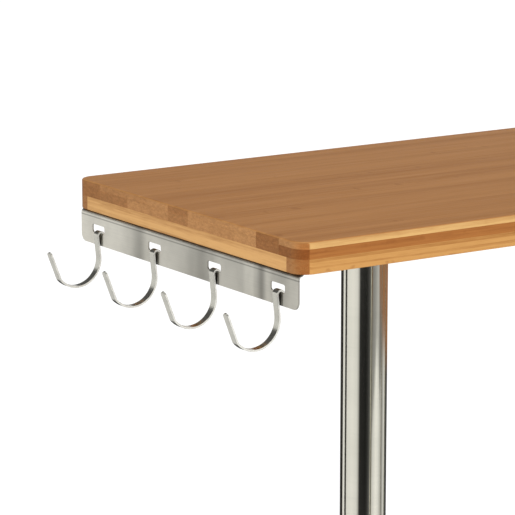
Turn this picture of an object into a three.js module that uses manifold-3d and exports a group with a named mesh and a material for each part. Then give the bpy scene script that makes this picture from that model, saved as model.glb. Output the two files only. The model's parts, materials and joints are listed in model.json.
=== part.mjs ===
// Butcher block table: a laminated bamboo top on four steel tube legs with levelling feet, and a slotted
// steel rail with four hanging hooks under the top's left end.
// Millimetres, +Z up, +Y towards the back. The origin is on the floor, under the middle of the whole
// object's box, hooks included.

import * as THREE from 'three';
import { mergeVertices } from 'three/addons/utils/BufferGeometryUtils.js';
import Module from 'manifold-3d';

const wasm = await Module();
wasm.setup();

// ---------------------------------------------------------------- driving dimensions

const HEIGHT = 900;
const TOP = { length: 1200, width: 400, corner: 16, upperEase: 2, lowerEase: 1 };
const PLY = { upper: 6.6, core: 9.4, band: 14 };
const BAND = { side: 22, end: 50 };
const BATTEN = { leg: 130, middle: 90 };

const LEG = { diameter: 50, wall: 1.5, overhang: 325, inset: 47 };
const PLATE = { length: 110, width: 70, thickness: 3, corner: 8, hole: 5.6, boltX: 42, boltY: 20 };
const PLUG = { flange: 3, insert: 22, fit: 0.3, bore: 10.6 };
const PAD = { diameter: 44, boss: 20, height: 10, rim: 3.5, gap: 1 };
const STEM = { diameter: 10, foot: 4, top: 45 };

// The rail stands recess in from the top's end, and its middle is shift off the top's middle along Y. The
// flange's ends are cut back at 45 degrees.
const RAIL = { length: 388, height: 33, flange: 26, thickness: 1.5, bend: 3, corner: 8, recess: 1, shift: -2 };
const SLOT = { width: 23, height: 8, corner: 2, bottom: 20.8, pitch: 107, count: 4 };
// The strip's bends and straight runs in their order along it, and the angle it leans back at rest.
const HOOK = {
  width: 8, thickness: 2, gap: 1.7, drop: 2, rear: 9, front: 19.7,
  bowl: 26, bowlTurn: 142.6, kink: 7, kinkTurn: 23, tip: 29.5, hang: 6.6,
};

const LEG_SCREW = { head: 9.5, headHeight: 2.6, shank: 4.6, length: 14, pilot: 5.2, pilotDepth: 12.5 };
const RAIL_SCREW = { head: 8, headHeight: 2.4, shank: 3.9, length: 11, pilot: 4.5, pilotDepth: 11, hole: 5 };
const RAIL_SCREW_PLACE = { inset: 17, outerY: 172 };

const ROUND = 32;          // sides of a tube or foot
const SMALL_ROUND = 12;    // sides of a screw, stem or hole
const MARGIN = 5;          // how far a cutting solid passes what it cuts

// ---------------------------------------------------------------- derived places

const PLY_SUM = PLY.upper + PLY.core + PLY.band;
const TOP_BOTTOM = HEIGHT - PLY_SUM;
const HALF_LENGTH = TOP.length / 2;
const HALF_WIDTH = TOP.width / 2;
const INNER_WIDTH = TOP.width - 2 * BAND.side;
const LEG_X = HALF_LENGTH - LEG.overhang;
const LEG_Y = HALF_WIDTH - LEG.inset;
const LEG_TOP = TOP_BOTTOM - PLATE.thickness;
const PLUG_BOTTOM = PAD.height + PAD.gap;
const LEG_BOTTOM = PLUG_BOTTOM + PLUG.flange;
const RAIL_FACE = -HALF_LENGTH + RAIL.recess;
const RAIL_SCREW_X = RAIL_FACE + RAIL_SCREW_PLACE.inset;
const RAIL_SCREW_Y = [-RAIL_SCREW_PLACE.outerY, -SLOT.pitch, SLOT.pitch, RAIL_SCREW_PLACE.outerY];
const SLOT_FLOOR = TOP_BOTTOM - SLOT.bottom;
const PIVOT_X = RAIL_FACE + RAIL.thickness / 2;

const LEGS = [
  { name: 'front_left', x: -LEG_X, y: -LEG_Y },
  { name: 'rear_left', x: -LEG_X, y: LEG_Y },
  { name: 'front_right', x: LEG_X, y: -LEG_Y },
  { name: 'rear_right', x: LEG_X, y: LEG_Y },
];
const PLATE_CORNERS = [[-1, -1], [1, -1], [1, 1], [-1, 1]];

// ---------------------------------------------------------------- materials

function steel(color, roughness) {
  return () => new THREE.MeshStandardMaterial({ color, roughness, metalness: 1 });
}

function solidFinish(color, roughness) {
  return () => new THREE.MeshStandardMaterial({ color, roughness, metalness: 0 });
}

const lightBamboo = solidFinish(0xd9a666, 0.5);
const darkBamboo = solidFinish(0xb3773f, 0.5);
const polishedSteel = steel(0xd5d4cf, 0.18);
const brushedSteel = steel(0xb9b6ad, 0.35);
const zincSteel = steel(0xa9adb0, 0.4);
const blackPlastic = solidFinish(0x1c1c1d, 0.6);

// ---------------------------------------------------------------- solids

function toSolid(geometry) {
  const bare = geometry.clone();
  bare.deleteAttribute('normal');
  bare.deleteAttribute('uv');
  const merged = mergeVertices(bare, 1e-4);
  const vertProperties = Float32Array.from(merged.attributes.position.array);
  const triVerts = Uint32Array.from(merged.index.array);
  return new wasm.Manifold(new wasm.Mesh({ numProp: 3, vertProperties, triVerts }));
}

function toGeometry(solid) {
  const mesh = solid.getMesh();
  const geometry = new THREE.BufferGeometry();
  geometry.setAttribute('position', new THREE.BufferAttribute(mesh.vertProperties, 3));
  geometry.setIndex(new THREE.BufferAttribute(mesh.triVerts, 1));
  geometry.computeVertexNormals();
  return geometry;
}

// A box given by its lowest and highest corners.
function boxBetween(low, high) {
  const size = high.map((value, axis) => value - low[axis]);
  const box = new THREE.BoxGeometry(...size);
  box.translate(...low.map((value, axis) => value + size[axis] / 2));
  return box;
}

function roundedRectangle(width, height, radius) {
  const shape = new THREE.Shape();
  const x = width / 2 - radius;
  const y = height / 2 - radius;
  shape.absarc(x, y, radius, 0, Math.PI / 2);
  shape.absarc(-x, y, radius, Math.PI / 2, Math.PI);
  shape.absarc(-x, -y, radius, Math.PI, 1.5 * Math.PI);
  shape.absarc(x, -y, radius, 1.5 * Math.PI, 2 * Math.PI);
  return shape;
}

function circle(radius, x = 0, y = 0) {
  return new THREE.Path().absarc(x, y, radius, 0, 2 * Math.PI, true);
}

function extrude(shape, depth, curveSegments = 6) {
  return new THREE.ExtrudeGeometry(shape, { depth, curveSegments, bevelEnabled: false });
}

// A solid of revolution about Z from [radius, height] points.
function turned(points, sides) {
  const profile = points.map(([radius, height]) => new THREE.Vector2(radius, height));
  return new THREE.LatheGeometry(profile, sides).rotateX(Math.PI / 2);
}

function drill(solid, diameter, depth, places) {
  return places.reduce((left, [x, y, z]) => {
    const bit = new THREE.CylinderGeometry(diameter / 2, diameter / 2, depth + MARGIN, SMALL_ROUND);
    bit.rotateX(Math.PI / 2);
    bit.translate(x, y, z + (depth - MARGIN) / 2);
    return left.subtract(toSolid(bit));
  }, solid);
}

// ---------------------------------------------------------------- bamboo top

// The top's outline from z = 0 to height, with its lower or upper edge eased.
function easedSlab(height, easedUp) {
  const outline = roundedRectangle(TOP.length, TOP.width, TOP.corner);
  const ease = easedUp ? TOP.upperEase : TOP.lowerEase;
  const block = new THREE.ExtrudeGeometry(outline, {
    depth: height - ease,
    curveSegments: 8,
    bevelThickness: ease,
    bevelSize: ease,
    bevelOffset: -ease,
    bevelSegments: 3,
  });
  if (!easedUp) {
    block.rotateX(Math.PI).translate(0, 0, height);
  }
  const reach = [HALF_LENGTH + MARGIN, HALF_WIDTH + MARGIN];
  const keep = boxBetween([-reach[0], -reach[1], 0], [reach[0], reach[1], height]);
  return toSolid(block).intersect(toSolid(keep));
}

function corePly() {
  return extrude(roundedRectangle(TOP.length, TOP.width, TOP.corner), PLY.core, 8);
}

// The built-up edge: two strips along the sides that run through, and two between them at the ends.
function bands() {
  const slab = easedSlab(PLY.band, false);
  const outer = [HALF_LENGTH + MARGIN, HALF_WIDTH + MARGIN];
  const y = INNER_WIDTH / 2;
  const x = HALF_LENGTH - BAND.end;
  const pieces = {
    band_front: [[-outer[0], -outer[1]], [outer[0], -y]],
    band_back: [[-outer[0], y], [outer[0], outer[1]]],
    band_left: [[-outer[0], -y], [-x, y]],
    band_right: [[x, -y], [outer[0], y]],
  };
  const made = {};
  for (const [name, [low, high]] of Object.entries(pieces)) {
    const window = boxBetween([...low, -MARGIN], [...high, PLY.band + MARGIN]);
    made[name] = slab.intersect(toSolid(window));
  }
  const railHoles = RAIL_SCREW_Y.map((screwY) => [RAIL_SCREW_X, RAIL.shift + screwY, 0]);
  made.band_left = drill(made.band_left, RAIL_SCREW.pilot, RAIL_SCREW.pilotDepth, railHoles);
  return made;
}

function batten(width, holes) {
  const blank = boxBetween([-width / 2, -INNER_WIDTH / 2, 0], [width / 2, INNER_WIDTH / 2, PLY.band]);
  return drill(toSolid(blank), LEG_SCREW.pilot, LEG_SCREW.pilotDepth, holes);
}

function plateHoles(y) {
  return PLATE_CORNERS.map(([sideX, sideY]) => [sideX * PLATE.boltX, y + sideY * PLATE.boltY, 0]);
}

// ---------------------------------------------------------------- legs and feet

function legPlate() {
  const shape = roundedRectangle(PLATE.length, PLATE.width, PLATE.corner);
  for (const [x, y] of plateHoles(0)) {
    shape.holes.push(circle(PLATE.hole / 2, x, y));
  }
  return extrude(shape, PLATE.thickness, 5);
}

function legTube() {
  const outer = LEG.diameter / 2;
  const inner = outer - LEG.wall;
  const height = LEG_TOP - LEG_BOTTOM;
  return turned([[inner, 0], [outer, 0], [outer, height], [inner, height], [inner, 0]], ROUND);
}

function tubePlug() {
  const bore = PLUG.bore / 2;
  const outer = LEG.diameter / 2;
  const insert = outer - LEG.wall - PLUG.fit;
  const top = PLUG.flange + PLUG.insert;
  const profile = [
    [bore, 0], [outer - 1, 0], [outer, 1], [outer, PLUG.flange],
    [insert, PLUG.flange], [insert, top], [bore, top], [bore, 0],
  ];
  return turned(profile, ROUND);
}

function footPad() {
  const outer = PAD.diameter / 2;
  const bore = PLUG.bore / 2;
  const profile = [
    [0, 0], [outer - 1, 0], [outer, 1], [outer, PAD.rim], [PAD.boss / 2, PAD.height],
    [bore, PAD.height], [bore, STEM.foot], [0, STEM.foot],
  ];
  return turned(profile, ROUND);
}

function footStem() {
  const radius = STEM.diameter / 2;
  const profile = [[0, STEM.foot], [radius, STEM.foot], [radius, STEM.top - 1], [radius - 1, STEM.top], [0, STEM.top]];
  return turned(profile, SMALL_ROUND);
}

// A pan-head screw pointing up, with the underside of its head at z = 0.
function screw({ head, headHeight, shank, length }) {
  const headRadius = head / 2;
  const radius = shank / 2;
  const profile = [
    [0, -headHeight], [headRadius * 0.6, -headHeight * 0.9], [headRadius, -headHeight * 0.4], [headRadius, 0],
    [radius, 0], [radius, length - 2 * radius], [0, length],
  ];
  return turned(profile, SMALL_ROUND);
}

// ---------------------------------------------------------------- hook rail

// The rail's section: x runs inwards from its face, y is height below the wood.
function railSection() {
  const { height, flange, thickness, bend } = RAIL;
  const outer = bend + thickness;
  const shape = new THREE.Shape();
  shape.moveTo(0, -height);
  shape.lineTo(thickness, -height);
  shape.lineTo(thickness, -outer);
  shape.absarc(outer, -outer, bend, Math.PI, Math.PI / 2, true);
  shape.lineTo(flange, -thickness);
  shape.lineTo(flange, 0);
  shape.lineTo(outer, 0);
  shape.absarc(outer, -outer, outer, Math.PI / 2, Math.PI);
  return shape;
}

// A shape in the rail's face, x along +Y and y up, made into a cutter through the face.
function faceCutter(shape, y, z) {
  const depth = RAIL.flange + 2 * MARGIN;
  const cutter = extrude(shape, depth, 4);
  cutter.rotateX(Math.PI / 2).rotateZ(Math.PI / 2);
  return toSolid(cutter.translate(-MARGIN, y, z));
}

// What is left of the rail in plan once the flange's ends are cut back from the bend on.
function flangeCutter() {
  const bendEnd = RAIL.bend + RAIL.thickness;
  const half = RAIL.length / 2;
  const inner = half - (RAIL.flange - bendEnd) - MARGIN;
  const corners = [[-MARGIN, half + MARGIN], [bendEnd - MARGIN, half + MARGIN], [RAIL.flange + MARGIN, inner]];
  const mirrored = corners.map(([x, y]) => [x, -y]).reverse();
  const plan = new THREE.Shape([...corners, ...mirrored].map(([x, y]) => new THREE.Vector2(x, y)));
  const depth = RAIL.height + 2 * MARGIN;
  return toSolid(extrude(plan, depth).translate(0, 0, MARGIN - depth));
}

function hookRail() {
  const bar = extrude(railSection(), RAIL.length, 5);
  bar.rotateX(Math.PI / 2).translate(0, RAIL.length / 2, 0);
  const faceHeight = 2 * RAIL.height;
  const outline = roundedRectangle(RAIL.length, faceHeight, RAIL.corner);
  let rail = toSolid(bar).intersect(faceCutter(outline, 0, 0)).intersect(flangeCutter());
  for (const y of slotPlaces()) {
    const slot = roundedRectangle(SLOT.width, SLOT.height, SLOT.corner);
    rail = rail.subtract(faceCutter(slot, y, -SLOT.bottom + SLOT.height / 2));
  }
  const holes = RAIL_SCREW_Y.map((y) => [RAIL_SCREW_X - RAIL_FACE, y, -RAIL.thickness]);
  return toGeometry(drill(rail, RAIL_SCREW.hole, RAIL.thickness + MARGIN, holes));
}

// Slot centres along Y, from the back to the front.
function slotPlaces() {
  const places = [];
  for (let index = 0; index < SLOT.count; index += 1) {
    places.push(((SLOT.count - 1) / 2 - index) * SLOT.pitch);
  }
  return places;
}

// ---------------------------------------------------------------- hooks

// The strip's middle line, walked from the end behind the rail to the tip: x outwards, y up, from the
// middle of the rail's slot floor. Each step gives points and headings.
function hookPath() {
  const saddle = HOOK.gap + (RAIL.thickness + HOOK.thickness) / 2;
  const state = { x: -saddle, y: -HOOK.drop - HOOK.rear, heading: Math.PI / 2 };
  const path = [{ ...state }];
  const run = (length) => {
    state.x += length * Math.cos(state.heading);
    state.y += length * Math.sin(state.heading);
    path.push({ ...state });
  };
  const turn = (radius, degrees, steps) => {
    const step = THREE.MathUtils.degToRad(degrees) / steps;
    const chord = 2 * radius * Math.sin(Math.abs(step) / 2);
    for (let index = 0; index < steps; index += 1) {
      state.heading += step / 2;
      state.x += chord * Math.cos(state.heading);
      state.y += chord * Math.sin(state.heading);
      state.heading += step / 2;
      path.push({ ...state });
    }
  };
  run(HOOK.rear);
  turn(saddle, -180, 12);
  run(HOOK.front);
  turn(HOOK.bowl, HOOK.bowlTurn, 22);
  turn(HOOK.kink, HOOK.kinkTurn, 4);
  run(HOOK.tip);
  return path;
}

// The corners outside the tip's half round end, ready to be taken off the strip.
function tipCutter({ x, y, heading }) {
  const radius = HOOK.width / 2;
  const end = new THREE.CylinderGeometry(radius, radius, 2 * MARGIN, ROUND);
  const block = boxBetween([0, -MARGIN, -MARGIN - radius], [radius + MARGIN, MARGIN, MARGIN + radius]);
  const corners = toGeometry(toSolid(block).subtract(toSolid(end)));
  corners.translate(-radius, 0, 0).rotateZ(heading);
  return toSolid(corners.translate(x, y, 0));
}

function hangingHook() {
  const half = HOOK.thickness / 2;
  const path = hookPath();
  const side = (sign) => path.map(({ x, y, heading }) => (
    new THREE.Vector2(x - sign * half * Math.sin(heading), y + sign * half * Math.cos(heading))
  ));
  const outline = new THREE.Shape([...side(1), ...side(-1).reverse()]);
  const strip = extrude(outline, HOOK.width).translate(0, 0, -HOOK.width / 2);
  const cut = toSolid(strip).subtract(tipCutter(path[path.length - 1]));
  const hook = toGeometry(cut);
  // x outwards becomes -X, y up becomes +Z, then the hook leans back on the rail's lower edge.
  hook.rotateX(Math.PI / 2).rotateZ(Math.PI);
  return hook.rotateY(-THREE.MathUtils.degToRad(HOOK.hang));
}

// ---------------------------------------------------------------- assembly

const table = new THREE.Group();

function add(name, geometry, material, x = 0, y = 0, z = 0) {
  const mesh = new THREE.Mesh(geometry, material());
  mesh.name = name;
  mesh.position.set(x, y, z);
  table.add(mesh);
}

function addTop() {
  add('upper_ply', toGeometry(easedSlab(PLY.upper, true)), lightBamboo, 0, 0, HEIGHT - PLY.upper);
  add('core_ply', corePly(), darkBamboo, 0, 0, TOP_BOTTOM + PLY.band);
  for (const [name, solid] of Object.entries(bands())) {
    add(name, toGeometry(solid), lightBamboo, 0, 0, TOP_BOTTOM);
  }
  const holes = [...plateHoles(-LEG_Y), ...plateHoles(LEG_Y)];
  const legBatten = toGeometry(batten(BATTEN.leg, holes));
  add('batten_left', legBatten, lightBamboo, -LEG_X, 0, TOP_BOTTOM);
  add('batten_right', legBatten, lightBamboo, LEG_X, 0, TOP_BOTTOM);
  add('batten_middle', toGeometry(batten(BATTEN.middle, [])), lightBamboo, 0, 0, TOP_BOTTOM);
}

function addLeg({ name, x, y }) {
  add(`leg_tube_${name}`, legTube(), polishedSteel, x, y, LEG_BOTTOM);
  add(`leg_plate_${name}`, legPlate(), polishedSteel, x, y, LEG_TOP);
  plateHoles(y).forEach(([holeX, holeY], index) => {
    add(`leg_screw_${name}_${index + 1}`, screw(LEG_SCREW), zincSteel, x + holeX, holeY, LEG_TOP);
  });
  add(`tube_plug_${name}`, tubePlug(), blackPlastic, x, y, PLUG_BOTTOM);
  add(`foot_stem_${name}`, footStem(), zincSteel, x, y);
  add(`foot_pad_${name}`, footPad(), blackPlastic, x, y);
}

function addRail() {
  add('hook_rail', hookRail(), brushedSteel, RAIL_FACE, RAIL.shift, TOP_BOTTOM);
  RAIL_SCREW_Y.forEach((y, index) => {
    const z = TOP_BOTTOM - RAIL.thickness;
    add(`rail_screw_${index + 1}`, screw(RAIL_SCREW), zincSteel, RAIL_SCREW_X, RAIL.shift + y, z);
  });
  slotPlaces().forEach((y, index) => {
    add(`hook_${index + 1}`, hangingHook(), brushedSteel, PIVOT_X, RAIL.shift + y, SLOT_FLOOR);
  });
}

addTop();
LEGS.forEach(addLeg);
addRail();

// The hooks reach out past the left end, so the table stands half that reach to the right of the origin.
const box = new THREE.Box3().setFromObject(table);
table.position.x = -(box.min.x + box.max.x) / 2;

export default table;
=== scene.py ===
import json
import math

import bmesh
import bpy
from mathutils import Matrix, Vector


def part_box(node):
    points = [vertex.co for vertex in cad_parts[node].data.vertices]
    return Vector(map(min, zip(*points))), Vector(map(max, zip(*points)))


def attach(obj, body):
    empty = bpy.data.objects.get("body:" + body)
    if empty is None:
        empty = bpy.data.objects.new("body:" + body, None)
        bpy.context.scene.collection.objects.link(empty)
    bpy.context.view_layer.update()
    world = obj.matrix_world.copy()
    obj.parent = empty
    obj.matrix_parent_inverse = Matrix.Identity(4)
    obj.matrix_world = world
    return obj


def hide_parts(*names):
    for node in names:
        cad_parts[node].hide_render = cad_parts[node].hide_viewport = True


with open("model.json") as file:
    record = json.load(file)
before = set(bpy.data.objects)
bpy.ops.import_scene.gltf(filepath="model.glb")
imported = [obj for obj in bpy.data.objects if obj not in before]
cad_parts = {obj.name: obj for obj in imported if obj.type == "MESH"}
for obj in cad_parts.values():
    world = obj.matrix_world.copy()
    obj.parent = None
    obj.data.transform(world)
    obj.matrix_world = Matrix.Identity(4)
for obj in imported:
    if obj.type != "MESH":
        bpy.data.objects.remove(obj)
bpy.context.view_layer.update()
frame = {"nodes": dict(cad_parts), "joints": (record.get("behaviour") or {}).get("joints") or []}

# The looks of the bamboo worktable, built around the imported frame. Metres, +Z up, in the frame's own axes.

MM = 0.001

# ---------------------------------------------------------------- sizes

CORNER = 16 * MM            # radius of the top's corners in plan
UPPER_EASE = 2 * MM         # rounding of the top's upper edge
LOWER_EASE = 1 * MM         # rounding of its lower edge
GLUE_CHAMFER = 0.15 * MM    # fine chamfer where two plies meet

RAIL = {"thickness": 1.5 * MM, "bend": 3 * MM, "corner": 8 * MM, "edge": 0.25 * MM, "screw_inset": 17 * MM}
SLOT = {"width": 23 * MM, "height": 8 * MM, "corner": 2 * MM}
# A hook's strip. gap: its play on each side of the rail. drop: how far below the slot's edge the centre of
# its top bend lies. rear, front and tip: its straight runs. hang: its lean at rest, in degrees.
HOOK = {
    "width": 8 * MM, "thickness": 2 * MM, "gap": 1.7 * MM, "drop": 2 * MM, "rear": 9 * MM,
    "front": 19.7 * MM, "bowl": 26 * MM, "bowl_turn": 142.6, "kink": 7 * MM, "kink_turn": 23,
    "tip": 29.5 * MM, "hang": 6.6, "edge": 0.3 * MM,
}
HOOK_TIP = {"steps": 10, "end": 86}    # its round tip is cut off square at 86 degrees of the half circle
PLATE = {"corner": 8 * MM, "hole": 2.8 * MM, "bolt_x": 42 * MM, "bolt_y": 20 * MM, "edge": 0.5 * MM}
LEG_SCREW = {"head": 4.75 * MM, "rise": 2.6 * MM, "shank": 2.3 * MM, "length": 14 * MM}
RAIL_SCREW = {"head": 4 * MM, "rise": 2.4 * MM, "shank": 1.95 * MM, "length": 11 * MM, "hole": 2.5 * MM}
TUBE = {"wall": 1.5 * MM, "edge": 0.3 * MM, "weld": 2.2 * MM}
PLUG = {
    "flange": 3 * MM, "lip": 1 * MM, "edge": 0.2 * MM, "clearance": 0.3 * MM, "bore": 5.3 * MM,
    "ribs": 5, "rib_start": 3.5 * MM, "rib_pitch": 3.6 * MM, "rib_rise": 0.5 * MM,
}
PAD = {"rim": 1.6 * MM, "boss": 10 * MM, "bore": 5.3 * MM, "socket": 4 * MM, "centre_hole": 1 * MM}
THREAD = {"pitch": 1.5 * MM, "depth": 0.8 * MM, "tip": 1.2 * MM, "tip_share": 0.6, "sides": 40, "steps": 8}
# The cross recess of a screw, in shares of the head's radius, and its depth in shares of the head's rise.
RECESS = {"reach": 0.56, "blade": 0.15, "taper": 0.55, "depth": 0.6}

LEGS = ["front_left", "rear_left", "front_right", "rear_right"]
PLATE_SCREWS = 4
RAIL_SCREWS = 4
HOOK_COUNT = 4

# ---------------------------------------------------------------- places taken from the frame

upper_low, upper_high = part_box("upper_ply")
core_low, core_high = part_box("core_ply")
band_low, band_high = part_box("band_front")
left_low, left_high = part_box("band_left")
right_low, right_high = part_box("band_right")
rail_low, rail_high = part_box("hook_rail")
TOP_LEFT, TOP_RIGHT = upper_low.x, upper_high.x
TOP_FRONT, TOP_BACK = upper_low.y, upper_high.y
WOOD_BOTTOM = band_low.z
PIVOTS = {joint["child"]: Vector(joint["pos_m"]) for joint in frame["joints"] if joint["type"] == "hinge"}


def middle(node):
    low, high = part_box(node)
    return (low + high) / 2


# ---------------------------------------------------------------- mesh helpers


def smooth(mesh, degrees=35):
    mesh.polygons.foreach_set("use_smooth", [True] * len(mesh.polygons))
    mesh.set_sharp_from_angle(angle=math.radians(degrees))


def from_bmesh(name, bm):
    bmesh.ops.recalc_face_normals(bm, faces=bm.faces[:])
    mesh = bpy.data.meshes.new(name)
    bm.to_mesh(mesh)
    bm.free()
    smooth(mesh)
    return mesh


def loft(name, rings, closed=False):
    """A closed mesh through rings of equally many points. An open run of rings is capped at both ends."""
    count = len(rings[0])
    faces = []
    for level in range(len(rings) if closed else len(rings) - 1):
        here = level * count
        above = (level + 1) % len(rings) * count
        for i in range(count):
            j = (i + 1) % count
            faces.append((here + i, here + j, above + j, above + i))
    if not closed:
        faces.append(tuple(reversed(range(count))))
        faces.append(tuple(range((len(rings) - 1) * count, len(rings) * count)))
    mesh = bpy.data.meshes.new(name)
    mesh.from_pydata([tuple(point) for ring in rings for point in ring], [], faces)
    bm = bmesh.new()
    bm.from_mesh(mesh)
    bpy.data.meshes.remove(mesh)
    return from_bmesh(name, bm)


def turned(name, profile, sides=96, closed=False):
    """A solid of revolution about Z from (radius, height) points."""
    turns = [2 * math.pi * i / sides for i in range(sides)]
    rings = [[(r * math.cos(a), r * math.sin(a), z) for a in turns] for r, z in profile]
    return loft(name, rings, closed)


def arc(centre, radius, start, end, steps):
    """Points on an arc, angles in degrees."""
    angles = [math.radians(start + (end - start) * i / steps) for i in range(steps + 1)]
    return [(centre[0] + radius * math.cos(a), centre[1] + radius * math.sin(a)) for a in angles]


def rounded_rectangle(low, high, radii, steps=8):
    """Anticlockwise points of a rectangle; radii run from the lower left corner, anticlockwise."""
    points = []
    corners = [(low[0], low[1]), (high[0], low[1]), (high[0], high[1]), (low[0], high[1])]
    inward = [(1, 1), (-1, 1), (-1, -1), (1, -1)]
    for turn, (corner, step, radius) in enumerate(zip(corners, inward, radii)):
        if radius:
            centre = (corner[0] + step[0] * radius, corner[1] + step[1] * radius)
            points += arc(centre, radius, 180 + 90 * turn, 270 + 90 * turn, steps)
        else:
            points.append(corner)
    return points


def circle(x, y, radius, steps=24):
    return arc((x, y), radius, 0, 360, steps)[:-1]


def sheet_metal(outlines, thickness, edge, folds=()):
    """A flat sheet from z = 0 up with rounded edges: a rim, then its holes. It is cut across at each fold."""
    bm = bmesh.new()
    rim = []
    for outline in outlines:
        verts = [bm.verts.new((x, y, 0)) for x, y in outline]
        rim += [bm.edges.new((verts[i - 1], verts[i])) for i in range(len(verts))]
    bmesh.ops.triangle_fill(bm, edges=rim, use_beauty=True)
    grown = bmesh.ops.extrude_face_region(bm, geom=bm.faces[:])
    moved = [part for part in grown["geom"] if isinstance(part, bmesh.types.BMVert)]
    bmesh.ops.translate(bm, verts=moved, vec=(0, 0, thickness))
    bmesh.ops.recalc_face_normals(bm, faces=bm.faces[:])
    sharp = [e for e in bm.edges if len(e.link_faces) == 2 and e.calc_face_angle() > math.radians(60)]
    bmesh.ops.bevel(bm, geom=sharp, offset=edge, segments=2, affect="EDGES", profile=0.5)
    for y in folds:
        parts = bm.verts[:] + bm.edges[:] + bm.faces[:]
        bmesh.ops.bisect_plane(bm, geom=parts, plane_co=(0, y, 0), plane_no=(0, 1, 0))
    return bm


def add_object(name, data):
    thing = bpy.data.objects.new(name, data)
    bpy.context.scene.collection.objects.link(thing)
    return thing


def place(name, mesh, body, material, nodes, location=(0, 0, 0)):
    """Puts a finished piece where it goes, on its body, in the place of its CAD nodes."""
    piece = add_object(name, mesh)
    piece.location = location
    if not mesh.materials:
        mesh.materials.append(material)
    shading = piece.modifiers.new("flat_faces_stay_flat", "WEIGHTED_NORMAL")
    shading.keep_sharp = True
    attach(piece, body)
    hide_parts(*nodes)


# ---------------------------------------------------------------- materials


class Finish:
    """One material's node tree, with short calls for the nodes that the finishes share."""

    def __init__(self, name):
        self.material = bpy.data.materials.new(name)
        self.material.use_nodes = True
        self.tree = self.material.node_tree
        self.shader = self.tree.nodes["Principled BSDF"]
        self.spot = self.add("ShaderNodeTexCoord").outputs["Object"]

    def add(self, kind, **settings):
        node = self.tree.nodes.new(kind)
        for key, value in settings.items():
            setattr(node, key, value)
        return node

    def feed(self, socket, value):
        if isinstance(value, bpy.types.NodeSocket):
            self.tree.links.new(value, socket)
        elif socket.type == "RGBA":
            socket.default_value = (*value, 1)
        else:
            socket.default_value = value

    def stretch(self, scale):
        node = self.add("ShaderNodeMapping")
        self.feed(node.inputs["Vector"], self.spot)
        node.inputs["Scale"].default_value = scale
        return node.outputs["Vector"]

    def along(self, axis):
        node = self.add("ShaderNodeSeparateXYZ")
        self.feed(node.inputs[0], self.spot)
        return node.outputs[axis]

    def noise(self, scale, detail=3, rough=0.55, distortion=0.0):
        """Noise over the object, scale per metre along each axis."""
        node = self.add("ShaderNodeTexNoise")
        self.feed(node.inputs["Vector"], self.stretch(scale))
        node.inputs["Scale"].default_value = 1
        node.inputs["Detail"].default_value = detail
        node.inputs["Roughness"].default_value = rough
        node.inputs["Distortion"].default_value = distortion
        return node.outputs["Fac"]

    def cells(self, scale, randomness=1.0):
        """A random value for each cell, scale per metre along each axis."""
        node = self.add("ShaderNodeTexVoronoi")
        self.feed(node.inputs["Vector"], self.stretch(scale))
        node.inputs["Scale"].default_value = 1
        node.inputs["Randomness"].default_value = randomness
        grey = self.add("ShaderNodeSeparateColor")
        self.feed(grey.inputs[0], node.outputs["Color"])
        return grey.outputs[0]

    def math(self, operation, a, b=0.0):
        node = self.add("ShaderNodeMath", operation=operation)
        self.feed(node.inputs[0], a)
        self.feed(node.inputs[1], b)
        return node.outputs[0]

    def span(self, value, low, high, out_low=0.0, out_high=1.0, run="SMOOTHSTEP"):
        """A value from low to high, made to run from out_low to out_high."""
        node = self.add("ShaderNodeMapRange", interpolation_type=run)
        for socket, amount in zip(node.inputs, (value, low, high, out_low, out_high)):
            self.feed(socket, amount)
        return node.outputs[0]

    def mix(self, share, a, b, blend="MIX"):
        node = self.add("ShaderNodeMix", data_type="RGBA", blend_type=blend)
        self.feed(node.inputs["Factor"], share)
        self.feed(node.inputs["A"], a)
        self.feed(node.inputs["B"], b)
        return node.outputs["Result"]

    def tint(self, colour, amount):
        """A colour made lighter or darker by an amount around 1."""
        grey = self.add("ShaderNodeCombineColor")
        for socket in grey.inputs[:3]:
            self.feed(socket, amount)
        return self.mix(1.0, colour, grey.outputs[0], "MULTIPLY")

    def within(self, value, low, high, blur):
        """1 where a value is from low to high and 0 elsewhere, with soft edges."""
        above = self.span(value, low - blur, low + blur)
        return self.math("MULTIPLY", above, self.span(value, high + blur, high - blur))

    def steps(self, value, stops, interpolation="CONSTANT"):
        """A grey value that changes at each (position, tone) stop."""
        node = self.add("ShaderNodeValToRGB")
        self.feed(node.inputs[0], value)
        ramp = node.color_ramp
        ramp.interpolation = interpolation
        while len(ramp.elements) < len(stops):
            ramp.elements.new(1.0)
        for element, (position, tone) in zip(ramp.elements, stops):
            element.position = position
            element.color = (tone, tone, tone, 1)
        grey = self.add("ShaderNodeSeparateColor")
        self.feed(grey.inputs[0], node.outputs[0])
        return grey.outputs[0]

    def facing(self, axis):
        """How squarely the surface faces along an axis, either way."""
        normal = self.add("ShaderNodeSeparateXYZ")
        self.feed(normal.inputs[0], self.add("ShaderNodeNewGeometry").outputs["Normal"])
        return self.math("ABSOLUTE", normal.outputs[axis])

    def bump(self, height, distance, strength=1.0):
        node = self.add("ShaderNodeBump")
        node.inputs["Strength"].default_value = strength
        node.inputs["Distance"].default_value = distance
        self.feed(node.inputs["Height"], height)
        self.feed(self.shader.inputs["Normal"], node.outputs[0])

    def finish(self, **inputs):
        for key, value in inputs.items():
            self.feed(self.shader.inputs[key.replace("_", " ")], value)
        return self.material


class Glow(Finish):
    """A material that gives light."""

    def __init__(self, name):
        super().__init__(name)
        self.tree.nodes.remove(self.shader)
        self.shader = self.add("ShaderNodeEmission")
        self.feed(self.tree.nodes["Material Output"].inputs["Surface"], self.shader.outputs[0])


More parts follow.
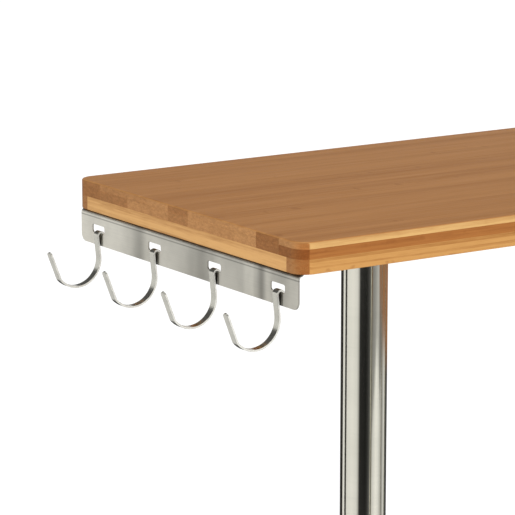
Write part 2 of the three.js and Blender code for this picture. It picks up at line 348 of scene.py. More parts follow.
# Widths of the top's staves in mm from the front edge, and how dark each one's end grain is in the two
# upper plies.
STAVES = [
    (33, 0.22, 1.0), (38, 0.82, 0.80), (38, 0.04, 0.02), (42, 0.10, 0.14), (37, 0.16, 0.08), (37, 0.62, 0.45),
    (38, 0.10, 0.16), (37, 0.28, 0.14), (52, 0.36, 0.55), (48, 0.66, 0.72),
]

# Light and dark of the grain: in the end grain, the face that looks up, the upper ply's edges, the core ply,
# the front and back strips, and the end strips and battens.
END_LIGHT = (0.36, 0.178, 0.066)
END_DARK = (0.19, 0.072, 0.021)
TOP_LIGHT = (0.415, 0.195, 0.067)
TOP_DARK = (0.33, 0.143, 0.045)
EDGE_LIGHT = (0.49, 0.30, 0.115)
EDGE_DARK = (0.34, 0.175, 0.059)
CORE_LIGHT = (0.275, 0.106, 0.027)
CORE_DARK = (0.185, 0.060, 0.014)
SIDE_LIGHT = (0.405, 0.208, 0.065)
SIDE_DARK = (0.265, 0.114, 0.030)
CROSS_LIGHT = (0.51, 0.288, 0.109)
CROSS_DARK = (0.295, 0.137, 0.044)
SLANT_TINT = (0.86, 0.70, 0.54)    # what the end grain is multiplied by where it is cut at a slant
SHEEN_LEVEL = 0.04          # the oiled wood hardly mirrors anything
KNOT_DEPTH = 0.30           # how far the nodes of the bamboo go towards the dark of the core ply
# How much each texture counts in the tone along the grain, and then the broad streaks of the top's face.
GRAIN = {"strip": 0.16, "streak": 0.30, "thread": 0.20, "fibre": 0.16, "fleck": 0.18}
BROAD_SHARE = 0.45


def stave_tones(finish, column):
    """How dark the end grain is at each stave across the top."""
    width = TOP_BACK - TOP_FRONT
    share = finish.math("DIVIDE", finish.math("SUBTRACT", finish.along("Y"), TOP_FRONT), width)
    stops = []
    reached = 0.0
    for stave in STAVES:
        stops.append((reached, stave[column]))
        reached += stave[0] * MM / width
    return finish.steps(share, stops)


def bamboo(name, grain, light, dark, top=None, tones=None):
    """Laminated bamboo, its fibres along grain, X or Y. End grain shows where the surface faces along it.

    top is the light and dark of the face that looks up, and tones a column of STAVES for the end grain.
    """
    finish = Finish(name)

    def scaled(length, width, height):
        return (length, width, height) if grain == "X" else (width, length, height)

    fibre = finish.noise(scaled(9, 900, 900), detail=4, rough=0.6)
    thread = finish.noise(scaled(14, 420, 420), detail=2, rough=0.6)
    streak = finish.noise(scaled(2.2, 95, 140), detail=3, rough=0.6, distortion=0.25)
    strip = finish.cells(scaled(1.1, 70, 240), randomness=0.9)
    knot_row = finish.noise(scaled(95, 28, 90), detail=1)
    knot_place = finish.noise(scaled(4, 60, 160), detail=0)
    knot = finish.math("MULTIPLY", finish.span(knot_row, 0.62, 0.72), finish.span(knot_place, 0.60, 0.70))
    fleck = finish.noise(scaled(55, 480, 420), detail=3, rough=0.65)
    tone = finish.math("MULTIPLY", strip, GRAIN["strip"])
    for part, texture in ((streak, "streak"), (thread, "thread"), (fibre, "fibre"), (fleck, "fleck")):
        tone = finish.math("ADD", tone, finish.math("MULTIPLY", part, GRAIN[texture]))
    colour = finish.mix(finish.span(tone, 0.33, 0.60), dark, light)
    if top:
        broad = finish.noise(scaled(1.1, 42, 42), detail=4, rough=0.65, distortion=0.35)
        narrow = finish.math("MULTIPLY", tone, 1 - BROAD_SHARE)
        top_tone = finish.math("ADD", narrow, finish.math("MULTIPLY", broad, BROAD_SHARE))
        top_colour = finish.mix(finish.span(top_tone, 0.37, 0.61), top[1], top[0])
        upward = finish.span(finish.facing("Z"), 0.45, 0.85)
        colour = finish.mix(upward, colour, top_colour)
    colour = finish.mix(finish.math("MULTIPLY", knot, KNOT_DEPTH), colour, CORE_DARK)

    bundles = finish.noise((1500, 1500, 1500), detail=2, rough=0.7)
    bands = finish.noise((60, 170, 420), detail=3)
    speckle = finish.span(bundles, 0.42, 0.62, 0.86, 1.1)
    drift = finish.span(bands, 0.3, 0.7, 0.88, 1.1)
    darkness = stave_tones(finish, tones) if tones else finish.span(bands, 0.35, 0.7, 0.35, 0.8)
    end = finish.mix(darkness, END_LIGHT, END_DARK)
    end = finish.tint(end, finish.math("MULTIPLY", speckle, drift))
    slanted = finish.span(finish.facing("Y" if grain == "X" else "X"), 0.15, 0.85)
    end = finish.mix(slanted, end, finish.mix(1.0, end, SLANT_TINT, "MULTIPLY"))
    ends = finish.span(finish.facing(grain), 0.28, 0.36)
    if top:
        ends = finish.math("MULTIPLY", ends, finish.math("SUBTRACT", 1.0, upward))
    colour = finish.mix(ends, colour, end)

    finish.bump(finish.math("ADD", fibre, finish.math("MULTIPLY", streak, 0.6)), 0.12 * MM, 0.5)
    rough = finish.span(fibre, 0.3, 0.7, 0.50, 0.36)
    return finish.finish(Base_Color=colour, Roughness=rough, Specular_IOR_Level=SHEEN_LEVEL)


# Painted reflections: soft lighter and darker patches along the rail, from its front end to its back end.
RAIL_REFLECTIONS = [
    (0.0, 1.0), (0.025, 0.95), (0.065, 0.80), (0.10, 0.88), (0.13, 1.05), (0.155, 0.53), (0.18, 0.90),
    (0.195, 1.10), (0.22, 1.07), (0.24, 0.87), (0.30, 0.92), (0.34, 1.0), (0.38, 0.77), (0.415, 0.63),
    (0.455, 0.77), (0.50, 0.90), (0.60, 1.05), (0.67, 1.08), (0.71, 0.66), (0.76, 1.03), (0.82, 1.23),
    (0.94, 1.17), (1.0, 1.2),
]

# Painted shade along the rail, from and to a depth below the wood: the painted shadow in the seam against the
# wood, and the painted shade of the crease under the bend.
RAIL_SHADE_LINES = [(-1 * MM, 1.6 * MM, 0.30), (4.8 * MM, 6.0 * MM, 0.55)]

# The painted shadow of each hook on the face beside it: from and to a distance in front of its middle, and
# how deep below the wood it starts.
HOOK_SHADOW = {"start": 8.8 * MM, "end": 0.5 * MM, "depth": 20.8 * MM, "tone": 0.42}
RAIL_BLUR = 0.5 * MM        # how soft the edges of the painted shade lines and painted hook shadows are
RAIL_COLOUR = (0.56, 0.54, 0.475)


def rail_steel():
    """Satin stainless steel, brushed along the rail, with painted reflections as soft patches along its
    length, painted shade in the seam and the crease, and a painted shadow beside each hook.
    """
    finish = Finish("rail_satin_steel")
    share = finish.math(
        "DIVIDE", finish.math("SUBTRACT", finish.along("Y"), rail_low.y), rail_high.y - rail_low.y
    )
    # Painted reflections: lighter and darker patches along the rail.
    patches = finish.steps(share, RAIL_REFLECTIONS, "EASE")
    brush = finish.noise((700, 12, 1400), detail=4, rough=0.7)
    cloud = finish.noise((40, 40, 40), detail=3)
    amount = finish.math("MULTIPLY", patches, finish.span(brush, 0.25, 0.75, 0.93, 1.05))
    amount = finish.math("MULTIPLY", amount, finish.span(cloud, 0.3, 0.7, 0.94, 1.04))
    depth = finish.math("SUBTRACT", WOOD_BOTTOM, finish.along("Z"))
    # Painted shade: the shadow in the seam against the wood, and the shade of the crease under the bend.
    for low, high, tone in RAIL_SHADE_LINES:
        line = finish.within(depth, low, high, RAIL_BLUR)
        amount = finish.math("MULTIPLY", amount, finish.span(line, 0.0, 1.0, 1.0, tone))
    # Painted shadow of each hook on the rail's face beside it, below the slots.
    below_slots = finish.span(depth, HOOK_SHADOW["depth"] - RAIL_BLUR, HOOK_SHADOW["depth"] + RAIL_BLUR)
    for pivot in PIVOTS.values():
        start, end = pivot.y - HOOK_SHADOW["start"], pivot.y - HOOK_SHADOW["end"]
        beside = finish.within(finish.along("Y"), start, end, RAIL_BLUR)
        hook_shade = finish.math("MULTIPLY", beside, below_slots)
        amount = finish.math("MULTIPLY", amount, finish.span(hook_shade, 0.0, 1.0, 1.0, HOOK_SHADOW["tone"]))
    colour = finish.tint(RAIL_COLOUR, amount)
    rough = finish.span(brush, 0.25, 0.75, 0.30, 0.42)
    finish.bump(brush, 0.03 * MM, 0.35)
    tangent = finish.add("ShaderNodeTangent", direction_type="RADIAL", axis="Z")
    return finish.finish(
        Base_Color=colour, Metallic=1.0, Roughness=rough, Anisotropic=0.7, Anisotropic_Rotation=0.25,
        Tangent=tangent.outputs[0],
    )


TUBE_COLOUR = (0.745, 0.725, 0.63)
PLATE_COLOUR = (0.56, 0.55, 0.52)
HOOK_FLAT, HOOK_EDGE = (0.56, 0.55, 0.49), (0.64, 0.63, 0.58)
ZINC_BLUE, ZINC_YELLOW = (0.40, 0.43, 0.48), (0.52, 0.50, 0.44)
PLASTIC_DARK, PLASTIC_LIGHT = (0.014, 0.014, 0.015), (0.028, 0.028, 0.029)


def tube_steel(name, base, roughness, anisotropic):
    """Stainless steel with fine brush lines round the upright axis."""
    finish = Finish(name)
    brush = finish.noise((14, 14, 2600), detail=4, rough=0.7)
    haze = finish.noise((8, 8, 30), detail=3)
    amount = finish.math(
        "MULTIPLY", finish.span(brush, 0.2, 0.8, 0.95, 1.04), finish.span(haze, 0.3, 0.7, 0.97, 1.02)
    )
    rough = finish.span(brush, 0.2, 0.8, roughness * 0.85, roughness * 1.15)
    tangent = finish.add("ShaderNodeTangent", direction_type="RADIAL", axis="Z")
    return finish.finish(
        Base_Color=finish.tint(base, amount), Metallic=1.0, Roughness=rough, Anisotropic=anisotropic,
        Anisotropic_Rotation=0.25, Tangent=tangent.outputs[0],
    )


def hook_steel():
    """Bright bent strip, lightly scratched along its length, with paler tumbled edges."""
    finish = Finish("hook_bright_steel")
    scratch = finish.noise((180, 2400, 180), detail=4, rough=0.7)
    cloud = finish.noise((110, 110, 110), detail=2)
    amount = finish.math(
        "MULTIPLY", finish.span(scratch, 0.2, 0.8, 0.93, 1.05), finish.span(cloud, 0.3, 0.7, 0.95, 1.04)
    )
    rough = finish.span(scratch, 0.2, 0.8, 0.17, 0.29)
    edges = finish.span(finish.facing("Y"), 0.75, 0.95)
    rough = finish.math("ADD", rough, finish.math("MULTIPLY", edges, 0.25))
    metal = finish.math("SUBTRACT", 1.0, finish.math("MULTIPLY", edges, 0.6))
    colour = finish.mix(edges, HOOK_FLAT, HOOK_EDGE)
    finish.bump(scratch, 0.01 * MM, 0.3)
    return finish.finish(Base_Color=finish.tint(colour, amount), Metallic=metal, Roughness=rough)


def zinc_steel():
    """Bright zinc plate with a faint blue and yellow bloom."""
    finish = Finish("zinc_plated_steel")
    bloom = finish.noise((260, 260, 260), detail=3)
    grain = finish.noise((1800, 1800, 1800), detail=2)
    colour = finish.mix(finish.span(bloom, 0.35, 0.65), ZINC_BLUE, ZINC_YELLOW)
    colour = finish.tint(colour, finish.span(grain, 0.3, 0.7, 0.9, 1.05))
    finish.bump(grain, 0.02 * MM, 0.3)
    return finish.finish(Base_Color=colour, Metallic=1.0, Roughness=finish.span(grain, 0.3, 0.7, 0.26, 0.42))


def black_plastic():
    """Moulded black plastic with a fine spark texture."""
    finish = Finish("moulded_black_plastic")
    spark = finish.noise((1600, 1600, 1600), detail=3, rough=0.7)
    cloud = finish.noise((60, 60, 60), detail=2)
    colour = finish.mix(finish.span(cloud, 0.3, 0.7), PLASTIC_DARK, PLASTIC_LIGHT)
    finish.bump(spark, 0.08 * MM, 0.5)
    return finish.finish(Base_Color=colour, Roughness=finish.span(spark, 0.3, 0.7, 0.45, 0.65))


upper_bamboo = bamboo("upper_bamboo", "X", EDGE_LIGHT, EDGE_DARK, top=(TOP_LIGHT, TOP_DARK), tones=1)
core_bamboo = bamboo("core_bamboo", "X", CORE_LIGHT, CORE_DARK, tones=2)
side_bamboo = bamboo("side_bamboo", "X", SIDE_LIGHT, SIDE_DARK)
cross_bamboo = bamboo("cross_bamboo", "Y", CROSS_LIGHT, CROSS_DARK)
tube_finish = tube_steel("tube_polished_steel", TUBE_COLOUR, roughness=0.105, anisotropic=0.4)
plate_finish = tube_steel("plate_satin_steel", PLATE_COLOUR, roughness=0.36, anisotropic=0.3)
rail_finish = rail_steel()
hook_finish = hook_steel()
zinc_finish = zinc_steel()
plastic_finish = black_plastic()

# ---------------------------------------------------------------- bamboo top


def eased(bottom, top, ease_bottom, ease_top, steps=5):
    """(height, inset) levels of a slab, with a rounding of its own at the bottom and at the top."""
    levels = []
    for radius, base, sign in ((ease_bottom, bottom, 1), (ease_top, top, -1)):
        count = steps if radius > GLUE_CHAMFER else 1
        rounding = []
        for i in range(count + 1):
            angle = math.radians(90 * i / count)
            rounding.append((base + sign * radius * (1 - math.cos(angle)), radius * (1 - math.sin(angle))))
        levels += rounding if sign > 0 else rounding[::-1]
    return levels


def whole_outline(inset):
    low = (TOP_LEFT + inset, TOP_FRONT + inset)
    high = (TOP_RIGHT - inset, TOP_BACK - inset)
    return rounded_rectangle(low, high, [CORNER - inset] * 4, steps=24)


def side_outline(inset, seam, at_back):
    """The strip of the top between its front or back edge and the seam that runs along it."""
    low = (TOP_LEFT + inset, seam if at_back else TOP_FRONT + inset)
    high = (TOP_RIGHT - inset, TOP_BACK - inset if at_back else seam)
    radius = CORNER - inset
    radii = [0, 0, radius, radius] if at_back else [radius, radius, 0, 0]
    return rounded_rectangle(low, high, radii, steps=24)


def end_outline(inset, low, high, at_left):
    left = low.x + inset if at_left else low.x
    right = high.x if at_left else high.x - inset
    return rounded_rectangle((left, low.y), (right, high.y), [0, 0, 0, 0])


def slab(name, outline, levels, material, node):
    rings = [[(x, y, z) for x, y in outline(inset)] for z, inset in levels]
    place(name, loft(name, rings), "table", material, [node])


def build_top():
    fine = GLUE_CHAMFER
    slab("upper_ply_board", whole_outline, eased(upper_low.z, upper_high.z, fine, UPPER_EASE),
         upper_bamboo, "upper_ply")
    slab("core_ply_board", whole_outline, eased(core_low.z, core_high.z, fine, fine),
         core_bamboo, "core_ply")
    levels = eased(band_low.z, band_high.z, LOWER_EASE, fine)
    front_seam, back_seam = left_low.y, left_high.y
    slab("front_band_strip", lambda inset: side_outline(inset, front_seam, False), levels,
         side_bamboo, "band_front")
    slab("back_band_strip", lambda inset: side_outline(inset, back_seam, True), levels,
         side_bamboo, "band_back")
    slab("left_band_strip", lambda inset: end_outline(inset, left_low, left_high, True), levels,
         cross_bamboo, "band_left")
    slab("right_band_strip", lambda inset: end_outline(inset, right_low, right_high, False), levels,
         cross_bamboo, "band_right")
    for node in ("batten_left", "batten_middle", "batten_right"):
        paint(node, cross_bamboo)


def paint(node, material):
    """Gives a carried-over CAD node its finish."""
    mesh = frame["nodes"][node].data
    mesh.materials.clear()
    mesh.materials.append(material)


# ---------------------------------------------------------------- screws


def cross_recess(head_radius, depth):
    """A tapered cross, point up, that leaves a driver recess in a head whose top is at z = 0."""
    rings = []
    for height, share in ((-depth * 0.2, 1.0), (depth, RECESS["taper"])):
        long = head_radius * RECESS["reach"] * share
        wide = head_radius * RECESS["blade"]
        quarter = [(long, -wide), (long, wide), (wide, wide)]
        ring = []
        for turn in range(4):
            c, s = round(math.cos(turn * math.pi / 2)), round(math.sin(turn * math.pi / 2))
            ring += [(x * c - y * s, x * s + y * c, height) for x, y in quarter]
        rings.append(ring)
    return loft("cross_recess", rings)


def screw_mesh(name, size):
    """A pan-head screw pointing up, the underside of its head at z = 0, with a cross recess."""
    head, rise, shank, length = size["head"], size["rise"], size["shank"], size["length"]
    # A small flat cap, then the curve from 15 degrees off the axis down to the rim of the head.
    crown = [(head * math.sin(a), -rise * (0.45 + 0.55 * math.cos(a)))
             for a in (math.radians(15 + 75 * i / 8) for i in range(9))]
    profile = crown + [(head, -0.1 * MM), (head - 0.1 * MM, 0), (shank, 0), (shank, length * 0.75),
                       (shank * 0.2, length)]
    body = add_object(name, turned(name, profile, sides=48))
    cutter_mesh = cross_recess(head, rise * RECESS["depth"])
    cutter_mesh.transform(Matrix.Translation((0, 0, -rise)))
    cutter = add_object("cutter", cutter_mesh)
    cut = body.modifiers.new("recess", "BOOLEAN")
    cut.object = cutter
    cut.operation = "DIFFERENCE"
    cut.solver = "EXACT"
    mesh = bpy.data.meshes.new_from_object(body.evaluated_get(bpy.context.evaluated_depsgraph_get()))
    for part in (body, cutter):
        bpy.data.objects.remove(part)
    mesh.name = name
    smooth(mesh, 30)
    return mesh


# ---------------------------------------------------------------- legs and feet


def plate_mesh(low, high):
    half = (high - low) / 2
    outline = rounded_rectangle((-half.x, -half.y), (half.x, half.y), [PLATE["corner"]] * 4)
    holes = [circle(sx * PLATE["bolt_x"], sy * PLATE["bolt_y"], PLATE["hole"])
             for sx in (-1, 1) for sy in (-1, 1)]
    return from_bmesh("leg_plate_sheet", sheet_metal([outline, *holes], 2 * half.z, PLATE["edge"]))


def tube_mesh(low, high):
    """The leg's tube with its seat on the plug below, and the weld bead under the plate."""
    outer = (high.x - low.x) / 2
    inner = outer - TUBE["wall"]
    height = high.z - low.z
    edge, weld = TUBE["edge"], TUBE["weld"]
    bead = [(x, height + z) for x, z in arc((outer + weld, -weld), weld, 180, 90, 6)]
    profile = [(inner, 0), (outer - edge, 0), (outer, edge), *bead, (inner, height)]
    return turned("leg_tube", profile, closed=True)


def plug_mesh(low, high):
    """The tube's plug: a flange with a rounded lip, and a ribbed sleeve with a bore for the stem."""
    outer = (high.x - low.x) / 2
    insert = outer - TUBE["wall"] - PLUG["clearance"]
    core = insert - PLUG["rib_rise"]
    bore, flange, lip, edge = PLUG["bore"], PLUG["flange"], PLUG["lip"], PLUG["edge"]
    top = high.z - low.z
    rounding = [(outer - lip + x, lip + z) for x, z in arc((0, 0), lip, -90, 0, 5)]
    ribs = []
    for ring in range(PLUG["ribs"]):
        base = flange + PLUG["rib_start"] + PLUG["rib_pitch"] * ring
        crest, end = base + PLUG["rib_pitch"] / 6, base + PLUG["rib_pitch"] / 2
        ribs += [(core, base), (insert, crest), (core, end)]
    profile = [(bore, 0), *rounding, (outer, flange - edge), (outer - edge, flange), (core, flange), *ribs,
               (core - PLUG["rib_rise"], top), (bore, top)]
    return turned("tube_plug", profile, closed=True)


def pad_mesh(low, high):
    """The foot's pad: a rounded rim, a slope up to a boss, and a socket for the stem."""
    outer = (high.x - low.x) / 2
    top = high.z - low.z
    rim, boss, bore = PAD["rim"], PAD["boss"], PAD["bore"]
    rounding = arc((outer - rim, rim), rim, -75, 80, 10)
    slope = [(outer - 4 * MM, 3.6 * MM), (boss + 1.5 * MM, top - 3 * MM), (boss, top - 1.5 * MM)]
    socket = [(bore, top), (bore, PAD["socket"]), (PAD["centre_hole"], PAD["socket"])]
    profile = [(PAD["centre_hole"], 0), (outer - 3 * MM, 0), *rounding, *slope, (boss - 0.3 * MM, top),
               *socket]
    return turned("foot_pad", profile)


def stem_mesh(low, high):
    """A threaded rod, its ridge rising once round for each pitch."""
    radius, length = (high.x - low.x) / 2, high.z - low.z
    sides, steps, tip_share = THREAD["sides"], THREAD["steps"], THREAD["tip_share"]
    turns = int(length / THREAD["pitch"])
    rings = []
    for level in range(turns * steps + 1):
        height = length * level / (turns * steps)
        taper = min(1.0, tip_share + (1 - tip_share) * (length - height) / THREAD["tip"])
        ring = []
        for i in range(sides):
            phase = (height / THREAD["pitch"] - i / sides) % 1
            cut = THREAD["depth"] * abs(2 * phase - 1)
            r = (radius - cut) * taper
            angle = 2 * math.pi * i / sides
            ring.append((r * math.cos(angle), r * math.sin(angle), height))
        rings.append(ring)
    return loft("foot_stem", rings)


def build_legs():
    kinds = [
        ("leg_tube", tube_mesh, "table", tube_finish, "polished_steel"),
        ("tube_plug", plug_mesh, "table", plastic_finish, "black_plastic"),
        ("foot_pad", pad_mesh, "foot", plastic_finish, "black_plastic"),
        ("foot_stem", stem_mesh, "foot", zinc_finish, "zinc_steel"),
        ("leg_plate", plate_mesh, "table", plate_finish, "polished_steel"),
    ]
    shapes = {kind: make(*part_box(f"{kind}_{LEGS[0]}")) for kind, make, *_ in kinds}
    screw = screw_mesh("leg_screw_pan_head", LEG_SCREW)
    for leg in LEGS:
        axis = middle(f"leg_tube_{leg}")
        for kind, _, rides_on, material, slot in kinds:
            node = f"{kind}_{leg}"
            body = f"foot_{leg}" if rides_on == "foot" else "table"
            spot = (axis.x, axis.y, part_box(node)[0].z)
            place(f"{node}_made", shapes[kind], body, material, [node], spot)
        plate_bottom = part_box(f"leg_plate_{leg}")[0].z
        for number in range(1, PLATE_SCREWS + 1):
            node = f"leg_screw_{leg}_{number}"
            spot = middle(node)
            place(f"{node}_made", screw, "table", zinc_finish, [node],
                  (spot.x, spot.y, plate_bottom))


# ---------------------------------------------------------------- hook rail and hooks


def rail_mesh():
    """The rail's flat blank with slots and screw holes, folded over into the flange with its cut ends."""
    thickness, edge = RAIL["thickness"], RAIL["edge"]
    outer = RAIL["bend"] + thickness
    fold = rail_high.z - rail_low.z - outer
    bend_length = (outer - thickness / 2) * math.pi / 2
    cut = rail_high.x - rail_low.x - outer
    flange_start = fold + bend_length
    reach = flange_start + cut
    rim = rounded_rectangle((rail_low.y, 0), (rail_high.y, reach), [RAIL["corner"]] * 2 + [0, 0])[:-2]
    rim += [(rail_high.y, flange_start), (rail_high.y - cut, reach), (rail_low.y + cut, reach),
            (rail_low.y, flange_start)]
    outlines = [rim]
    for pivot in PIVOTS.values():
        floor = pivot.z - rail_low.z
        low = (pivot.y - SLOT["width"] / 2, floor)
        high = (pivot.y + SLOT["width"] / 2, floor + SLOT["height"])
        outlines.append(rounded_rectangle(low, high, [SLOT["corner"]] * 4))
    hole_reach = flange_start + RAIL["screw_inset"] - outer
    for number in range(1, RAIL_SCREWS + 1):
        outlines.append(circle(middle(f"rail_screw_{number}").y, hole_reach, RAIL_SCREW["hole"]))
    folds = [fold + bend_length * i / 10 for i in range(11)]
    bm = sheet_metal(outlines, thickness, edge, folds)
    top = rail_high.z
    for vert in bm.verts:
        along, reached, depth = vert.co
        if reached <= fold:
            spot = (rail_low.x + depth, rail_low.z + reached)
        elif reached < flange_start:
            angle = (reached - fold) / bend_length * math.pi / 2
            radius = outer - depth
            spot = (rail_low.x + outer - radius * math.cos(angle), top - outer + radius * math.sin(angle))
        else:
            spot = (rail_low.x + outer + reached - flange_start, top - depth)
        vert.co = (spot[0], along, spot[1])
    return from_bmesh("hook_rail", bm)


def hook_path():
    """The strip's middle line as (outwards, up, heading), from its end behind the rail to its tip."""
    saddle = HOOK["gap"] + (RAIL["thickness"] + HOOK["thickness"]) / 2
    x, y, heading = -saddle, -HOOK["drop"] - HOOK["rear"], math.pi / 2
    path = [(x, y, heading)]

    def run(length):
        nonlocal x, y
        x += length * math.cos(heading)
        y += length * math.sin(heading)
        path.append((x, y, heading))

    def turn(radius, degrees, steps):
        nonlocal x, y, heading
        step = math.radians(degrees) / steps
        chord = 2 * radius * math.sin(abs(step) / 2)
        for _ in range(steps):
            heading += step / 2
            x += chord * math.cos(heading)
            y += chord * math.sin(heading)
            heading += step / 2
            path.append((x, y, heading))

    run(HOOK["rear"])
    turn(saddle, -180, 24)
    run(HOOK["front"])
    turn(HOOK["bowl"], HOOK["bowl_turn"], 60)
    turn(HOOK["kink"], HOOK["kink_turn"], 8)
    run(HOOK["tip"] - HOOK["width"] / 2)
    return path


def strip_section(half_width, half_thickness, radius):
    radius = min(radius, half_width * 0.9)
    return rounded_rectangle((-half_width, -half_thickness), (half_width, half_thickness), [radius] * 4, 3)


def hook_mesh():
    """A flat strip swept along the hook's line, its edges rounded and its tip a half circle."""
    half_width, half_thickness = HOOK["width"] / 2, HOOK["thickness"] / 2
    sections = [(x, y, heading, half_width) for x, y, heading in hook_path()]
    x, y, heading, _ = sections[-1]
    for i in range(1, HOOK_TIP["steps"] + 1):
        angle = math.radians(HOOK_TIP["end"] * i / HOOK_TIP["steps"])
        ahead = half_width * math.sin(angle)
        sections.append((x + ahead * math.cos(heading), y + ahead * math.sin(heading), heading,
                         half_width * math.cos(angle)))
    lean = math.radians(HOOK["hang"])
    rings = []
    for x, y, heading, width in sections:
        ring = []
        for across, deep in strip_section(width, half_thickness, HOOK["edge"]):
            out = x - deep * math.sin(heading)
            up = y + deep * math.cos(heading)
            ring.append((-out * math.cos(lean) - up * math.sin(lean), across,
                         -out * math.sin(lean) + up * math.cos(lean)))
        rings.append(ring)
    return loft("hanging_hook", rings)


def build_rail():
    place("hook_rail_folded", rail_mesh(), "table", rail_finish, ["hook_rail"])
    screw = screw_mesh("rail_screw_pan_head", RAIL_SCREW)
    for number in range(1, RAIL_SCREWS + 1):
        node = f"rail_screw_{number}"
        spot = middle(node)
        place(f"{node}_made", screw, "table", zinc_finish, [node],
              (spot.x, spot.y, rail_high.z - RAIL["thickness"]))
    hook = hook_mesh()
    for number in range(1, HOOK_COUNT + 1):
        body = f"hanging_hook_{number}"
        place(f"hook_{number}_strip", hook, body, hook_finish, [f"hook_{number}"],
              PIVOTS[body])


# ---------------------------------------------------------------- stage, light and camera

# From the top's near left corner, at the height of the wood's underside, to the camera.
CAMERA_STEP = Vector((-1.420, -2.073, 0.547))
CAMERA_HEADING = 33.54      # degrees from +Y towards +X
CAMERA_DIP = 11.9           # degrees below the horizon
LENS, SENSOR = 200.5, 36
FAR_CLIP = 200

FLOOR_REACH = 60
FLOOR_GREY = 0.90
FLOOR_GLOW = 0.25
BACKDROP = 0.9
KEY = {"place_at": (-2.6, -2.6, 2.0), "aim": (-0.4, 0, 0.85), "size": 2.2, "power": 70}
FILL = {"place_at": (0.6, -3.2, 1.4), "aim": (0, 0, 0.85), "size": 2.0, "power": 30}

TENT = {"radius": 1.35, "height": 2.6, "sides": 96, "lift": 0.5 * MM}
# A narrow dark blind beside the rear left leg, which draws a thin line on it.
BLIND = {"angle": -97, "width": 13, "reach": 0.22, "glow": 0.05}
# A dark sheet behind the table, seen only in reflections, which paints shade into the hollows of the hooks:
# the corners of one upright sheet.
FLAG = {"corners": [(-1.4, 1.0, 1.16), (-0.27, 1.0, 1.31), (-0.27, 1.0, 2.9), (-1.4, 1.0, 2.9)], "glow": 0.13}

# What stands round the table and shows only in the steel: how bright it is at each angle from the camera's
# side, in degrees, positive to the camera's right. The upper part shows above the skirt, and the lower below.
TENT_LEFT = [
    (-180, 0.06), (-149, 0.10), (-145, 0.02), (-127, 0.02), (-123, 0.95), (-107, 0.92), (-90, 0.90),
    (-60, 0.97), (-36, 0.86), (-27, 0.50), (-22, 0.03),
]
TENT_UPPER = TENT_LEFT + [
    (8, 0.015), (17, 0.035), (27, 0.10), (37, 0.23), (47, 0.30), (58, 0.40), (69, 0.55), (76, 0.50),
    (82, 0.21), (96, 0.22), (106, 0.50), (120, 0.60), (127, 0.10), (160, 0.04), (180, 0.06),
]
TENT_LOWER = TENT_LEFT + [
    (8, 0.03), (18, 0.05), (26, 0.12), (32, 0.34), (38, 0.65), (44, 0.80), (62, 1.05), (76, 0.92),
    (88, 0.60), (98, 0.38), (106, 0.45), (114, 0.80), (122, 0.78), (127, 0.10), (160, 0.05), (180, 0.06),
]
# Height in metres where the skirt ends, at each angle.
TENT_SKIRT = [
    (-180, 0.3), (10, 0.10), (30, 0.18), (52, 0.31), (63, 0.372), (72, 0.35), (84, 0.29), (100, 0.36),
    (120, 0.40), (180, 0.4),
]
SKIRT_BLUR = 0.012
# Height in metres above which the wall is wood brown.
TENT_BROWN = [
    (-180, 2.6), (72, 2.6), (75, 0.47), (82, 0.455), (88, 0.425), (100, 0.39), (120, 0.365), (140, 0.35),
    (174, 0.35), (177, 2.6), (180, 2.6),
]
BROWN = (0.36, 0.175, 0.085)
TENT_PALE = (0.66, 1.12)    # heights in metres between which the wall is white all round
TENT_CROWN = 0.10           # how bright it is above that
TENT_BLUR = 0.03


def stage_in_reflections(piece):
    """Makes a piece part of the stage that nothing but reflections can see."""
    for ray in ("camera", "diffuse", "transmission", "volume_scatter", "shadow"):
        setattr(piece, f"visible_{ray}", False)


def build_floor():
    bm = bmesh.new()
    bmesh.ops.create_circle(bm, cap_ends=True, segments=64, radius=FLOOR_REACH)
    floor = add_object("floor", from_bmesh("floor", bm))
    floor.data.materials.append(Finish("pale_floor").finish(
        Base_Color=(FLOOR_GREY,) * 3, Roughness=0.9, Specular_IOR_Level=0.1,
        Emission_Color=(1, 1, 1), Emission_Strength=FLOOR_GLOW,
    ))


def tent_light():
    """The tent's light: two bands of tones by angle, and by height wood brown, white and a dark crown."""
    light = Glow("tent_light")
    gradient = light.add("ShaderNodeTexGradient", gradient_type="RADIAL")
    light.feed(gradient.inputs[0], light.spot)
    full_height = TENT["height"]
    share = light.math("DIVIDE", light.along("Z"), full_height)

    def around(stops, scale=1.0):
        places = [(0.5 + angle / 360, value * scale) for angle, value in stops]
        return light.steps(gradient.outputs["Fac"], places, "LINEAR")

    def above(edge, blur):
        """1 above a height that changes round the tent, and 0 below it."""
        over = light.math("SUBTRACT", share, around(edge, 1 / full_height))
        return light.span(over, -blur / full_height, blur / full_height, run="LINEAR")

    tones = light.mix(above(TENT_SKIRT, SKIRT_BLUR), around(TENT_LOWER), around(TENT_UPPER))
    tones = light.mix(above(TENT_BROWN, TENT_BLUR), tones, BROWN)
    for edge, tone in zip(TENT_PALE, (1.0, TENT_CROWN)):
        tones = light.mix(above([(-180, edge), (180, edge)], TENT_BLUR), tones, (tone,) * 3)
    return light.finish(Color=tones)


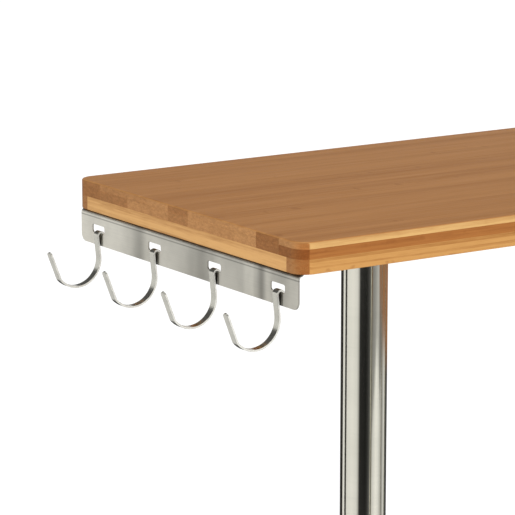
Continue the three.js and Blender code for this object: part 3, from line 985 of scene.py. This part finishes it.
def build_tent():
    """Walls and a ground round the rear left leg that are seen only in reflections."""
    centre = middle("leg_tube_rear_left")
    radius, sides, lift = TENT["radius"], TENT["sides"], TENT["lift"]
    bm = bmesh.new()
    hub = bm.verts.new((0, 0, lift))
    foot = []
    head = []
    for i in range(sides):
        x, y = radius * math.cos(2 * math.pi * i / sides), radius * math.sin(2 * math.pi * i / sides)
        foot.append(bm.verts.new((x, y, lift)))
        head.append(bm.verts.new((x, y, TENT["height"])))
    for i in range(sides):
        bm.faces.new((foot[i - 1], foot[i], head[i], head[i - 1]))
        bm.faces.new((hub, foot[i - 1], foot[i]))
    tent = add_object("reflection_tent", from_bmesh("reflection_tent", bm))
    tent.location = (centre.x, centre.y, 0)
    tent.rotation_euler = (0, 0, math.radians(-90 - CAMERA_HEADING))
    tent.data.materials.append(tent_light())
    stage_in_reflections(tent)


def card(name, corners, strength):
    """A plain sheet of little light that is seen only in reflections."""
    bm = bmesh.new()
    bm.faces.new([bm.verts.new(corner) for corner in corners])
    piece = add_object(name, from_bmesh(name, bm))
    piece.data.materials.append(Glow(name).finish(Color=(1, 1, 1), Strength=strength))
    stage_in_reflections(piece)


def build_cards():
    centre = middle("leg_tube_rear_left")
    corners = []
    for side, height in ((-1, 0), (1, 0), (1, WOOD_BOTTOM), (-1, WOOD_BOTTOM)):
        angle = math.radians(BLIND["angle"] + side * BLIND["width"] / 2 - 90 - CAMERA_HEADING)
        x, y = BLIND["reach"] * math.cos(angle), BLIND["reach"] * math.sin(angle)
        corners.append((centre.x + x, centre.y + y, height))
    card("dark_blind", corners, BLIND["glow"])
    card("dark_flag", FLAG["corners"], FLAG["glow"])


def soft_light(name, place_at, aim, size, power):
    data = bpy.data.lights.new(name, "AREA")
    data.shape = "SQUARE"
    data.size = size
    data.energy = power
    lamp = add_object(name, data)
    lamp.location = place_at
    lamp.rotation_euler = (Vector(aim) - Vector(place_at)).to_track_quat("-Z", "Y").to_euler()
    lamp.visible_glossy = False


def build_light():
    world = bpy.data.worlds.new("studio")
    bpy.context.scene.world = world
    world.use_nodes = True
    backdrop = world.node_tree.nodes["Background"]
    backdrop.inputs["Color"].default_value = (1, 1, 1, 1)
    backdrop.inputs["Strength"].default_value = BACKDROP
    soft_light("key", **KEY)
    soft_light("front_fill", **FILL)


def build_camera():
    data = bpy.data.cameras.new("camera")
    data.lens = LENS
    data.sensor_width = SENSOR
    data.clip_end = FAR_CLIP
    camera = add_object("camera", data)
    camera.location = Vector((TOP_LEFT, TOP_FRONT, WOOD_BOTTOM)) + CAMERA_STEP
    camera.rotation_euler = (math.radians(90 - CAMERA_DIP), 0, math.radians(-CAMERA_HEADING))
    bpy.context.scene.camera = camera
    bpy.context.scene.view_settings.view_transform = "Standard"


build_camera()
build_top()
build_legs()
build_rail()
build_floor()
build_tent()
build_cards()
build_light()
